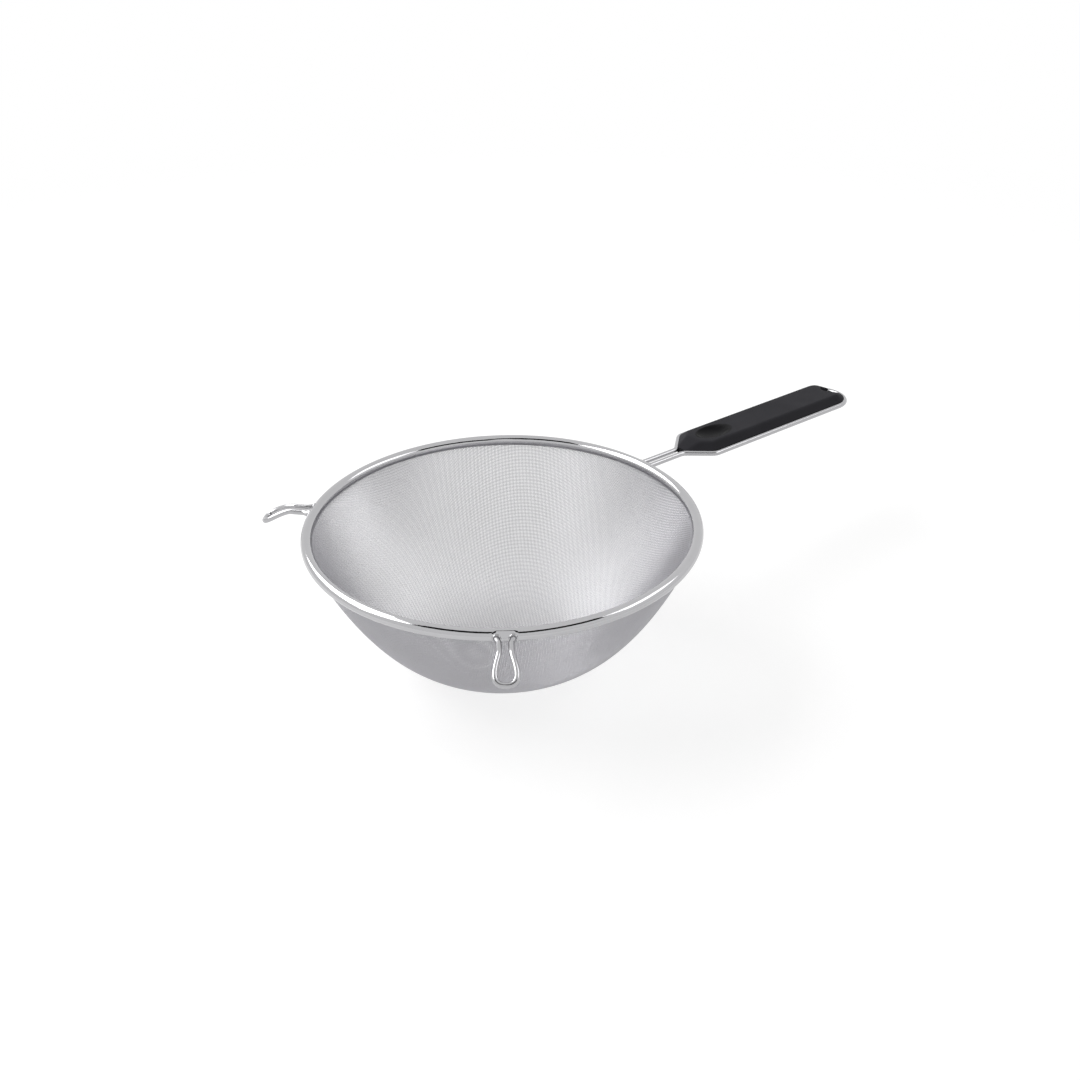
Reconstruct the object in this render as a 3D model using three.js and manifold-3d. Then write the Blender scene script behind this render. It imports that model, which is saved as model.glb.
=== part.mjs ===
// Fine mesh strainer, millimetres, +Z up, handle along +X.
// A woven mesh bowl hangs in a rolled tube rim. The handle is one bent wire whose feet
// enter the tube, with a moulded grip snapped between its legs. Two wire rests on the
// far side hook over a pot.
import * as THREE from 'three';
import { mergeVertices } from 'three/addons/utils/BufferGeometryUtils.js';
import Module from 'manifold-3d';

const wasm = await Module();
wasm.setup();

// Clearance between pieces that touch
const FIT_GAP = 0.3;

// Rim: a rolled tube with a slot in its lower side for the mesh
const RIM_OUTER_DIAMETER = 200;
const RIM_TUBE_DIAMETER = 5.8;
const RIM_WALL = 0.7;
const WIRE_ENTRY = 2;

// Mesh bowl: a collar in the rim's slot and a plain band, then an open wall that rounds into the bottom.
// A coarse lattice stands for the weave, with as large an open share as the real cloth.
const MESH_THICKNESS = 0.7;
const MESH_OPENINGS = 12;
const MESH_BAR = 6.6;
const MESH_TURN_DEG = 45;
const BOWL_DEPTH = 72;
const BOWL_POWER = 3.1;
const BAND_HEIGHT = 2.4;
const BAND_FOOT_THICKNESS = 1.3;
const BAND_LAP = 0.6;
const COLLAR_INSET = 1.1;
const COLLAR_DROP = 0.5;
const HEM_WIDTH = 1.4;
const HEM_HEIGHT = 1.2;

// Handle frame: neck, taper, straight grip part and round end, sloping down a little
const HANDLE_WIRE_DIAMETER = 2.8;
const HANDLE_WIDTH = 28.7;
const NECK_SPACING = 5.4;
const NECK_LENGTH = 25.6;
const TAPER_LENGTH = 14;
const GRIP_LENGTH = 105.6;
const BEND_RADIUS = 7;
const HANDLE_HEIGHT = 0.15;
const HANDLE_SLOPE_DEG = 2.2;

// Grip: fills the frame, chamfered all round on top, with a thumb recess and a hanging notch
const GRIP_RISE = 5;
const GRIP_DROP = 2.2;
const GRIP_LIP = 1.2;
const GRIP_CHAMFER = 4.8;
const GRIP_LOWER_CHAMFER = 1.4;
const NOSE_SETBACK = 1.2;
const NOSE_SLOPE_LENGTH = 9;
const RECESS_LENGTH = 20;
const RECESS_WIDTH = 13;
const RECESS_DEPTH = 1.6;
const RECESS_SETBACK = 11;
const NOTCH_WIDTH = 9;
const NOTCH_LENGTH = 12.5;

// Rests: two pear-shaped wire loops with feet spread at the rim, bent down towards their tips
const REST_WIRE_DIAMETER = 2.8;
const REST_ANGLE_DEG = 51.5;
const REST_FOOT_SPACING = 7.4;
const REST_FLARE = 4;
const REST_SPACING = 5.5;
const REST_WIDTH = 9.3;
const REST_FLAT = 10;
const REST_REACH = 25.4;
const REST_LEAD = 5;
const REST_FALL = 6.8;
const REST_HEIGHT = -0.4;

// Facets
const RING_STEPS = 72;
const TUBE_STEPS = 14;
const BORE_STEPS = 8;
const WIRE_SIDES = 8;
const FRAME_STEPS = 118;
const REST_STEPS = 40;
const WALL_STEPS = 24;

const rimRadius = RIM_OUTER_DIAMETER / 2;
const tubeRadius = RIM_TUBE_DIAMETER / 2;
const tubeCentre = rimRadius - tubeRadius;
const halfWidth = HANDLE_WIDTH / 2;
const handleWire = HANDLE_WIRE_DIAMETER / 2;
const restWire = REST_WIRE_DIAMETER / 2;
const taperEnd = NECK_LENGTH + TAPER_LENGTH;
const straightEnd = taperEnd + GRIP_LENGTH;

const steel = { color: 0xc9cbcf, roughness: 0.22, metalness: 1 };
const woven = { color: 0xb4b6ba, roughness: 0.45, metalness: 0.9 };
const plastic = { color: 0x2b2b2e, roughness: 0.55, metalness: 0 };

// Geometry helpers
function weld(geometry) {
  const bare = geometry.clone();
  bare.deleteAttribute('normal');
  bare.deleteAttribute('uv');
  return mergeVertices(bare, 1e-4);
}

function solid(geometry) {
  const welded = weld(geometry);
  const corners = Array.from(welded.index.array);
  const kept = [];
  for (let i = 0; i < corners.length; i += 3) {
    const [a, b, c] = corners.slice(i, i + 3);
    if (a !== b && b !== c && c !== a) kept.push(a, b, c);
  }
  const position = welded.attributes.position;
  const [p, q, r] = [new THREE.Vector3(), new THREE.Vector3(), new THREE.Vector3()];
  let volume = 0;
  for (let i = 0; i < kept.length; i += 3) {
    p.fromBufferAttribute(position, kept[i]);
    q.fromBufferAttribute(position, kept[i + 1]);
    r.fromBufferAttribute(position, kept[i + 2]);
    volume += p.dot(q.cross(r));
  }
  if (volume < 0) kept.reverse();
  return new wasm.Manifold(new wasm.Mesh({
    numProp: 3,
    vertProperties: new Float32Array(position.array),
    triVerts: new Uint32Array(kept),
  }));
}

function geometryOf(manifold) {
  const mesh = manifold.getMesh();
  const geometry = new THREE.BufferGeometry();
  geometry.setAttribute('position', new THREE.BufferAttribute(mesh.vertProperties, 3));
  geometry.setIndex(new THREE.BufferAttribute(mesh.triVerts, 1));
  const flat = geometry.toNonIndexed();
  flat.computeVertexNormals();
  return flat;
}

function revolve(profile) {
  return new THREE.LatheGeometry(profile, RING_STEPS).rotateX(Math.PI / 2);
}

function disc(radius) {
  return new THREE.Shape().absarc(0, 0, radius, 0, 2 * Math.PI);
}

function sweep(section, path, steps) {
  const options = { extrudePath: path, steps, curveSegments: WIRE_SIDES / 2 };
  return new THREE.ExtrudeGeometry(section, options);
}

function drill(radius, from, to, y) {
  const length = to - from;
  return new THREE.CylinderGeometry(radius, radius, length, 2 * WIRE_SIDES)
    .rotateZ(Math.PI / 2)
    .translate(from + length / 2, y, 0);
}

// A chain of straight runs through the points, with every inner corner rounded
function bentWire(points, radius) {
  const chain = new THREE.CurvePath();
  let from = points[0];
  for (let i = 1; i < points.length - 1; i += 1) {
    const corner = points[i];
    const back = points[i - 1].clone().sub(corner).normalize();
    const ahead = points[i + 1].clone().sub(corner).normalize();
    const cut = radius / Math.tan(back.angleTo(ahead) / 2);
    const start = corner.clone().addScaledVector(back, cut);
    const end = corner.clone().addScaledVector(ahead, cut);
    chain.add(new THREE.LineCurve3(from, start));
    chain.add(new THREE.QuadraticBezierCurve3(start, corner, end));
    from = end;
  }
  chain.add(new THREE.LineCurve3(from, points[points.length - 1]));
  return chain;
}

class HalfRound extends THREE.Curve {
  constructor(centre, radius) {
    super();
    this.centre = centre;
    this.radius = radius;
  }

  getPoint(t, target = new THREE.Vector3()) {
    const angle = Math.PI * (t - 0.5);
    const x = this.centre + this.radius * Math.cos(angle);
    return target.set(x, this.radius * Math.sin(angle), 0);
  }
}

// Places: pieces are drawn with x out from the rim's outer edge, then set on the rim
function onHandle(geometry) {
  return geometry
    .rotateY(THREE.MathUtils.degToRad(HANDLE_SLOPE_DEG))
    .translate(rimRadius, 0, HANDLE_HEIGHT);
}

function onRim(geometry, angle) {
  return geometry.translate(rimRadius, 0, REST_HEIGHT).rotateZ(angle);
}

// Handle frame
const legs = [
  new THREE.Vector3(-WIRE_ENTRY, NECK_SPACING / 2, 0),
  new THREE.Vector3(NECK_LENGTH, NECK_SPACING / 2, 0),
  new THREE.Vector3(taperEnd, halfWidth, 0),
  new THREE.Vector3(straightEnd, halfWidth, 0),
];
const mirrored = legs.map((point) => new THREE.Vector3(point.x, -point.y, 0));
const framePath = new THREE.CurvePath();
bentWire(mirrored, BEND_RADIUS).curves.forEach((curve) => framePath.add(curve));
framePath.add(new HalfRound(straightEnd, halfWidth));
bentWire([...legs].reverse(), BEND_RADIUS).curves.forEach((curve) => framePath.add(curve));

const handleFrame = onHandle(sweep(disc(handleWire), framePath, FRAME_STEPS));

// Rests
function restPath() {
  const spread = REST_FOOT_SPACING / 2;
  const half = REST_SPACING / 2;
  const bulge = (REST_WIDTH / 2 - half * 7 / 27) * 9 / 4;
  const side = (sign) => {
    const at = (x, y, z = 0) => new THREE.Vector3(x, sign * y, z);
    const bend = at(REST_FLAT, half);
    const tip = at(REST_REACH, 0, -REST_FALL);
    return [
      [at(-WIRE_ENTRY, spread), at(0, spread)],
      [at(0, spread), at(REST_FLARE / 2, spread), at(REST_FLARE / 2, half), at(REST_FLARE, half)],
      [at(REST_FLARE, half), bend],
      [bend, at(REST_FLAT + REST_LEAD, half), at(REST_REACH, bulge, -REST_FALL), tip],
    ];
  };
  const curve = (points) => (points.length === 2
    ? new THREE.LineCurve3(...points)
    : new THREE.CubicBezierCurve3(...points));
  const backwards = (list) => [...list].reverse();
  const path = new THREE.CurvePath();
  path.curves = [...side(-1), ...backwards(side(1)).map(backwards)].map(curve);
  return path;
}

const restTurn = THREE.MathUtils.degToRad(REST_ANGLE_DEG);
const restAngles = { rest_loop_left: Math.PI - restTurn, rest_loop_right: Math.PI + restTurn };

// Rim hoop: a slotted tube section turned about Z, drilled for the wire feet
function arc(radius, from, to, steps) {
  const points = [];
  for (let i = 0; i <= steps; i += 1) {
    const angle = from + (to - from) * i / steps;
    points.push(new THREE.Vector2(tubeCentre + radius * Math.cos(angle), radius * Math.sin(angle)));
  }
  return points;
}

function rimHoop() {
  const bore = tubeRadius - RIM_WALL;
  const slotHalf = MESH_THICKNESS / 2 + FIT_GAP;
  const slotStart = (radius) => -Math.acos((slotHalf - COLLAR_INSET) / radius);
  const slotEnd = (radius) => 2 * Math.PI - Math.acos((-slotHalf - COLLAR_INSET) / radius);
  const outside = arc(tubeRadius, slotStart(tubeRadius), slotEnd(tubeRadius), TUBE_STEPS);
  const inside = arc(bore, slotEnd(bore), slotStart(bore), BORE_STEPS);
  const depth = -WIRE_ENTRY - 2 * FIT_GAP;
  let hoop = solid(revolve([...outside, ...inside, outside[0]]));
  for (const side of [-1, 1]) {
    const foot = drill(handleWire + FIT_GAP, depth, RIM_TUBE_DIAMETER, side * NECK_SPACING / 2);
    hoop = hoop.subtract(solid(onHandle(foot)));
    for (const angle of Object.values(restAngles)) {
      const hole = drill(restWire + FIT_GAP, depth, RIM_TUBE_DIAMETER, side * REST_FOOT_SPACING / 2);
      hoop = hoop.subtract(solid(onRim(hole, angle)));
    }
  }
  return geometryOf(hoop);
}

// Mesh bowl: depth falls off as a power of the radius
const mouth = tubeCentre - COLLAR_INSET;
const bowlTop = -tubeRadius - COLLAR_DROP;
const bandFoot = bowlTop - BAND_HEIGHT;
const bandShare = (1 - BAND_HEIGHT / BOWL_DEPTH) ** (1 / BOWL_POWER);

function wall(share) {
  return new THREE.Vector2(share * mouth, bowlTop - BOWL_DEPTH * (1 - share ** BOWL_POWER));
}

const wallRows = Array.from({ length: WALL_STEPS + 1 }, (_, i) => wall(bandShare * i / WALL_STEPS));
const wallLine = new THREE.SplineCurve(wallRows);
const wallLength = wallLine.getLength();
const meshPitch = 2 * wallLength / MESH_OPENINGS;

// A place on the lattice, counted in openings from the middle and measured along the wall.
// Past the band's foot the wall goes straight on, to be trimmed there.
function latticePoint(u, v, offset) {
  const reach = Math.hypot(u, v) * meshPitch;
  const share = Math.min(reach / wallLength, 1);
  const way = wallLine.getTangentAt(share);
  const place = wallLine.getPointAt(share).addScaledVector(way, reach - share * wallLength);
  const radius = place.x + offset * way.y;
  const turn = Math.atan2(v, u) + THREE.MathUtils.degToRad(MESH_TURN_DEG);
  return [radius * Math.cos(turn), radius * Math.sin(turn), place.y - offset * way.x];
}

function lattice() {
  const half = MESH_OPENINGS / 2;
  const skin = MESH_THICKNESS / 2;
  const inset = MESH_BAR / 2 / meshPitch;
  const nearest = (i) => Math.min(Math.abs(i - half), Math.abs(i + 1 - half));
  const held = (i, j) => Math.hypot(nearest(i), nearest(j)) < half;
  const corners = [[0, 0], [1, 0], [1, 1], [0, 1]];
  const beside = [[0, -1], [1, 0], [0, 1], [-1, 0]];
  const points = [];
  const quad = (a, b, c, d) => points.push(...a, ...b, ...c, ...a, ...c, ...d);

  // Each cell is a frame of four bars' halves, on both skins, with walls inside and at a free edge
  const cell = (i, j) => {
    const ring = (margin, offset) => corners.map(([x, y]) => latticePoint(
      i - half + margin + x * (1 - 2 * margin), j - half + margin + y * (1 - 2 * margin), offset));
    const [edge, hole] = [ring(0, skin), ring(inset, skin)];
    const [edgeIn, holeIn] = [ring(0, -skin), ring(inset, -skin)];
    beside.forEach(([x, y], k) => {
      const n = (k + 1) % 4;
      quad(edge[k], edge[n], hole[n], hole[k]);
      quad(edgeIn[n], edgeIn[k], holeIn[k], holeIn[n]);
      quad(hole[k], hole[n], holeIn[n], holeIn[k]);
      if (!held(i + x, j + y)) quad(edge[n], edge[k], edgeIn[k], edgeIn[n]);
    });
  };
  for (let i = 0; i < MESH_OPENINGS; i += 1) {
    for (let j = 0; j < MESH_OPENINGS; j += 1) {
      if (held(i, j)) cell(i, j);
    }
  }
  const geometry = new THREE.BufferGeometry();
  geometry.setAttribute('position', new THREE.Float32BufferAttribute(points, 3));
  return solid(geometry).trimByPlane([0, 0, -1], -bandFoot - BAND_LAP);
}

// The band over the lattice, the collar in the slot and the folded hem inside the tube
function meshBowl() {
  const skin = MESH_THICKNESS / 2;
  const foot = BAND_FOOT_THICKNESS / 2;
  const offsetWall = (share, offset) => {
    const climb = BOWL_DEPTH * BOWL_POWER * share ** (BOWL_POWER - 1);
    const out = new THREE.Vector2(climb, -mouth).normalize();
    return wall(share).addScaledVector(out, offset);
  };
  const hemTop = HEM_HEIGHT / 2 - skin;
  const band = [
    offsetWall(bandShare, foot),
    offsetWall(1, skin),
    new THREE.Vector2(mouth + skin, hemTop - HEM_HEIGHT),
    new THREE.Vector2(mouth - skin + HEM_WIDTH, hemTop - HEM_HEIGHT),
    new THREE.Vector2(mouth - skin + HEM_WIDTH, hemTop),
    new THREE.Vector2(mouth - skin, hemTop),
    offsetWall(1, -skin),
    offsetWall(bandShare, -foot),
    offsetWall(bandShare, foot),
  ];
  return geometryOf(solid(revolve(band)).add(lattice()));
}

// Grip: the frame's outline raised, then the wire's groove, chamfers, recess and notch cut
function grip() {
  const nose = NECK_LENGTH + NOSE_SETBACK;
  const outline = framePath.getSpacedPoints(FRAME_STEPS)
    .filter((point) => point.x >= nose)
    .map((point) => new THREE.Vector2(point.x, point.y));
  const height = GRIP_RISE + GRIP_DROP;
  const block = new THREE.ExtrudeGeometry(new THREE.Shape(outline), { depth: height, bevelEnabled: false });
  block.translate(0, 0, -GRIP_DROP);
  const beyond = halfWidth;

  // Swept sections have x down from the wire and y in from it
  const upper = new THREE.Shape([
    new THREE.Vector2(-GRIP_LIP, -handleWire),
    new THREE.Vector2(-GRIP_LIP, FIT_GAP),
    new THREE.Vector2(-GRIP_RISE, GRIP_CHAMFER),
    new THREE.Vector2(-GRIP_RISE - 1, GRIP_CHAMFER),
    new THREE.Vector2(-GRIP_RISE - 1, -handleWire),
  ]);
  const lower = new THREE.Shape([
    new THREE.Vector2(GRIP_LIP, -handleWire),
    new THREE.Vector2(GRIP_LIP, FIT_GAP),
    new THREE.Vector2(GRIP_DROP, GRIP_LOWER_CHAMFER),
    new THREE.Vector2(GRIP_DROP + 1, GRIP_LOWER_CHAMFER),
    new THREE.Vector2(GRIP_DROP + 1, -handleWire),
  ]);
  const slope = new THREE.Shape([
    new THREE.Vector2(nose - 1, GRIP_LIP),
    new THREE.Vector2(nose, GRIP_LIP),
    new THREE.Vector2(nose + NOSE_SLOPE_LENGTH, GRIP_RISE),
    new THREE.Vector2(nose + NOSE_SLOPE_LENGTH, GRIP_RISE + 1),
    new THREE.Vector2(nose - 1, GRIP_RISE + 1),
  ]);
  const noseCut = new THREE.ExtrudeGeometry(slope, { depth: 2 * beyond, bevelEnabled: false })
    .rotateX(Math.PI / 2)
    .translate(0, beyond, 0);

  const notchEnd = straightEnd + halfWidth;
  const notchCentre = notchEnd - NOTCH_LENGTH + NOTCH_WIDTH / 2;
  const notch = new THREE.Shape();
  notch.absarc(notchCentre, 0, NOTCH_WIDTH / 2, Math.PI / 2, 3 * Math.PI / 2);
  notch.lineTo(notchEnd + handleWire, -NOTCH_WIDTH / 2);
  notch.lineTo(notchEnd + handleWire, NOTCH_WIDTH / 2);
  const through = { depth: height + 2, bevelEnabled: false, curveSegments: WIRE_SIDES };
  const notchCut = new THREE.ExtrudeGeometry(notch, through).translate(0, 0, -GRIP_DROP - 1);

  const recessRise = RECESS_DEPTH / 2;
  const recess = new THREE.SphereGeometry(1, 28, 14);
  const shrink = Math.sqrt(1 - (recessRise / (RECESS_DEPTH + recessRise)) ** 2);
  recess.scale(RECESS_LENGTH / 2 / shrink, RECESS_WIDTH / 2 / shrink, RECESS_DEPTH + recessRise);
  recess.translate(taperEnd + RECESS_SETBACK, 0, GRIP_RISE + recessRise);

  let body = solid(block);
  body = body.subtract(solid(sweep(disc(handleWire + FIT_GAP), framePath, FRAME_STEPS)));
  body = body.subtract(solid(sweep(upper, framePath, FRAME_STEPS)));
  body = body.subtract(solid(sweep(lower, framePath, FRAME_STEPS)));
  body = body.subtract(solid(noseCut));
  body = body.subtract(solid(notchCut));
  body = body.subtract(solid(recess));
  return onHandle(geometryOf(body));
}

// Scene graph
const part = new THREE.Group();

function add(name, geometry, look) {
  const mesh = new THREE.Mesh(geometry, new THREE.MeshStandardMaterial(look));
  mesh.name = name;
  part.add(mesh);
}

add('mesh_bowl', meshBowl(), woven);
add('rim_hoop', rimHoop(), steel);
add('handle_frame', handleFrame, steel);
add('grip', grip(), plastic);
for (const [name, angle] of Object.entries(restAngles)) {
  add(name, onRim(sweep(disc(restWire), restPath(), REST_STEPS), angle), steel);
}

// The origin is under the middle of the part, at the height of the bowl's lowest point
const box = new THREE.Box3().setFromObject(part, true);
const centre = box.getCenter(new THREE.Vector3());
part.position.set(-centre.x, -centre.y, -box.min.z);

export default part;
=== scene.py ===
import math

import bmesh
import bpy
import numpy as np
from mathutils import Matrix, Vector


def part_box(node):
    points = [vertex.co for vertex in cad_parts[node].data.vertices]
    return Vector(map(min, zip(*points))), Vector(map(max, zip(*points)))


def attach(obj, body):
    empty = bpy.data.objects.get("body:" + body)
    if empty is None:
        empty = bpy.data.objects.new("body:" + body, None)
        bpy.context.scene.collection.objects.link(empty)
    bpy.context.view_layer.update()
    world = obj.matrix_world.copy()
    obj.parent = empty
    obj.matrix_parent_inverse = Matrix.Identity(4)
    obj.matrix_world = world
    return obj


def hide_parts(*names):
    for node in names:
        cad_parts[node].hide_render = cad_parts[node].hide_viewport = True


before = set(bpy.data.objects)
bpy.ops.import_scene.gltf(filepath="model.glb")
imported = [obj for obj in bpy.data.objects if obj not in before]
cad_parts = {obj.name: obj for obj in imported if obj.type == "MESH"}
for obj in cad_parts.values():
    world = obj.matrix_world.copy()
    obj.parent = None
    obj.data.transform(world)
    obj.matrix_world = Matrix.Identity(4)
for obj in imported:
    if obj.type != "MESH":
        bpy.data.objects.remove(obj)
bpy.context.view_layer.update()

bl_info = {
    "name": "Fine Mesh Strainer",
    "version": (1, 0, 0),
    "blender": (4, 5, 0),
    "location": "View3D > Sidebar > Strainer",
    "description": "Woven wire bowl, polished rim, wire handle, moulded grip and rests of a strainer",
    "category": "Object",
}

MM = 0.001

# Depth of a wire foot in the rim tube, and clearance between pieces that touch
FOOT_ENTRY = 2.0 * MM
CLEARANCE = 0.3 * MM

# The camera, fitted to the rim, the handle and the rests: place, turn in degrees, and lens and sensor in mm
EYE = (-0.45689, -0.47829, 0.41968)
EYE_TURN = (59.9011, 0.8754, -40.4721)
EYE_LENS = 46.647
EYE_SENSOR = 36.0


def rim_place():
    """Centre of the rim tube's circle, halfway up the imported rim."""
    low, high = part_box("rim_hoop")
    return (low.x + high.x) / 2, 0.0, (low.z + high.z) / 2


RIM_CENTRE = np.array(rim_place())


def length(name, description, default):
    """A size property in metres."""
    return bpy.props.FloatProperty(
        name=name, description=description, default=default, precision=5, subtype="DISTANCE", unit="LENGTH"
    )


def degrees(name, description, default):
    """An angle property, its default given in degrees."""
    return bpy.props.FloatProperty(
        name=name, description=description, default=math.radians(default), subtype="ANGLE"
    )


def colour(name, description, default):
    """A linear colour property."""
    return bpy.props.FloatVectorProperty(
        name=name, description=description, default=default, size=3, min=0.0, max=1.0, subtype="COLOR"
    )


class StrainerClothSettings(bpy.types.PropertyGroup):
    """Sizes and colour of the woven bowl."""

    pitch: length("Pitch", "Distance from one wire to the next along the cloth", 0.8 * MM)
    wire: length("Wire", "Diameter of a cloth wire", 0.3 * MM)
    mouth: length("Mouth radius", "Radius of the cloth where it enters the rim", 96.0 * MM)
    collar: length("Collar", "Height of the upright edge under the rim tube's middle", 3.4 * MM)
    depth: length("Depth", "Depth of the bowl below the collar", 72.0 * MM)
    power: bpy.props.FloatProperty(
        name="Roundness", description="Power of the radius in the bowl's depth", default=3.1
    )
    turn: degrees("Turn", "Angle of the wires from the line of the handle", 45.0)
    tint: colour("Colour", "Colour of the wires", (0.53, 0.525, 0.55))


class StrainerRimSettings(bpy.types.PropertyGroup):
    """Sizes and colour of the rim tube."""

    radius: length("Outer radius", "Outer radius of the rim", 100.0 * MM)
    tube: length("Tube radius", "Outer radius of the rolled tube", 2.9 * MM)
    wall: length("Wall", "Sheet thickness of the tube", 0.7 * MM)
    slot: length("Slot", "Width of the slot that the cloth enters", 1.3 * MM)
    inset: length("Slot inset", "Distance of the slot inside the tube's middle", 1.1 * MM)
    tint: colour("Colour", "Colour of the polished steel", (0.48, 0.478, 0.49))


class StrainerHandleSettings(bpy.types.PropertyGroup):
    """Sizes of the bent frame, and the colours of its wire and grip."""

    wire: length("Frame wire", "Diameter of the frame wire", 2.8 * MM)
    spacing: length("Neck spacing", "Distance between the wires at the neck", 5.4 * MM)
    neck: length("Neck", "Length of the neck from the rim", 25.6 * MM)
    taper: length("Taper", "Length of the taper", 14.0 * MM)
    grip: length("Straight", "Length of the straight part that holds the grip", 105.6 * MM)
    width: length("Width", "Distance between the wires at the grip", 28.7 * MM)
    bend: length("Bend radius", "Radius of the wire's bends", 7.0 * MM)
    rise: length("Height", "Height of the wire above the rim tube's middle", 0.15 * MM)
    slope: degrees("Slope", "Downward slope of the handle", 2.2)
    tint: colour("Wire colour", "Colour of the drawn wire", (0.44, 0.438, 0.45))
    plastic: colour("Grip colour", "Colour of the grip", (0.028, 0.0275, 0.0315))


class StrainerRestSettings(bpy.types.PropertyGroup):
    """Sizes of the wire rests."""

    wire: length("Rest wire", "Diameter of the rest wire", 2.8 * MM)
    angle: degrees("Angle", "Angle of each rest from the line of the handle", 51.5)
    foot: length("Foot spacing", "Distance between the feet at the rim", 7.4 * MM)
    flare: length("Flare", "Length over which the feet spread to the rim", 4.0 * MM)
    spacing: length("Spacing", "Distance between the legs past the flare", 5.5 * MM)
    width: length("Width", "Distance between the legs at the widest place", 9.3 * MM)
    flat: length("Flat", "Length of the legs before they bend down", 10.0 * MM)
    reach: length("Reach", "Distance of the tip from the rim", 25.4 * MM)
    lead: length("Lead", "Length over which the bend begins", 5.0 * MM)
    fall: length("Fall", "Height of the legs above the tip", 6.8 * MM)
    rise: length("Height", "Height of the legs above the rim tube's middle", -0.4 * MM)


class Signal:
    """A shader socket that takes part in sums; every operation adds one Math node."""

    def __init__(self, finish, socket):
        self.finish = finish
        self.socket = socket

    def apply(self, operation, *values):
        return self.finish.node("ShaderNodeMath", {"operation": operation}, dict(enumerate(values)))

    def __add__(self, other):
        return self.apply("ADD", self, other)

    __radd__ = __add__

    def __sub__(self, other):
        return self.apply("SUBTRACT", self, other)

    def __rsub__(self, other):
        return self.apply("SUBTRACT", other, self)

    def __mul__(self, other):
        return self.apply("MULTIPLY", self, other)

    __rmul__ = __mul__


class Finish:
    """One procedural material built from nodes."""

    store, main = "materials", "Principled BSDF"

    def __init__(self, name):
        self.made = getattr(bpy.data, self.store).new(name)
        self.made.use_nodes = True
        self.tree = self.made.node_tree
        self.shader = self.tree.nodes[self.main]

    def node(self, kind, settings=None, inputs=None, output=0):
        """Adds a node, sets its properties, then its socket values or links."""
        made = self.tree.nodes.new(kind)
        for key, value in (settings or {}).items():
            setattr(made, key, value)
        for key, value in (inputs or {}).items():
            self.feed(made.inputs[key], value)
        return Signal(self, made.outputs[output])

    def feed(self, socket, value):
        if isinstance(value, Signal):
            self.tree.links.new(value.socket, socket)
        else:
            socket.default_value = value

    def coordinates(self, name="Object"):
        return self.node("ShaderNodeTexCoord", output=name)

    def seen(self):
        """One for what the camera sees, directly, mirrored or through glass, and zero elsewhere."""
        kinds = ("Camera", "Glossy", "Transmission")
        rays = [self.node("ShaderNodeLightPath", output=f"Is {kind} Ray") for kind in kinds]
        either = rays[0].apply("MAXIMUM", rays[0], rays[1])
        return either.apply("MAXIMUM", either, rays[2])

    def stretched(self, vector, scale):
        return self.node("ShaderNodeMapping", {"vector_type": "POINT"}, {"Vector": vector, "Scale": scale})

    def noise(self, vector, scale, detail=2.0):
        return self.node("ShaderNodeTexNoise", None, {"Vector": vector, "Scale": scale, "Detail": detail})

    def mix(self, factor, first, second):
        inputs = {"Factor": factor, 6: first, 7: second}
        return self.node("ShaderNodeMix", {"data_type": "RGBA"}, inputs, output=2)

    def bump(self, height, strength, distance):
        inputs = {"Strength": strength, "Distance": distance, "Height": height}
        return self.node("ShaderNodeBump", None, inputs)

    def set(self, **values):
        for key, value in values.items():
            self.feed(self.shader.inputs[key.replace("_", " ")], value)
        return self.made


class Sky(Finish):
    """The world's light, built from the same nodes."""

    store, main = "worlds", "Background"


def rgba(tint, scale=1.0):
    """A colour with full alpha, scaled and held below one."""
    return tuple(min(1.0, part * scale) for part in tint) + (1.0,)


def polished_steel(name, tint, rough):
    """Bright steel with faint polishing lines along the tube and cloudy handling marks."""
    finish = Finish(name)
    along = finish.stretched(finish.coordinates("UV"), (60.0, 9.0, 1.0))
    lines = finish.noise(along, 6.0, 3.0)
    clouds = finish.noise(finish.coordinates(), 55.0, 3.0)
    base = finish.mix(clouds, rgba(tint, 0.94), rgba(tint, 1.04))
    roughness = rough + 0.08 * (clouds - 0.5) + 0.05 * (lines - 0.5)
    return finish.set(
        Base_Color=base, Metallic=1.0, Roughness=roughness, Normal=finish.bump(lines, 0.06, 0.0002)
    )


def cloth_steel(name, tint):
    """Satin wire with small changes of colour and gloss from place to place."""
    finish = Finish(name)
    clouds = finish.noise(finish.coordinates(), 40.0, 3.0)
    grain = finish.noise(finish.coordinates(), 900.0, 1.0)
    base = finish.mix(clouds, rgba(tint, 0.9), rgba(tint, 1.06))
    return finish.set(Base_Color=base, Metallic=1.0, Roughness=0.3 + 0.1 * grain)


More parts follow.
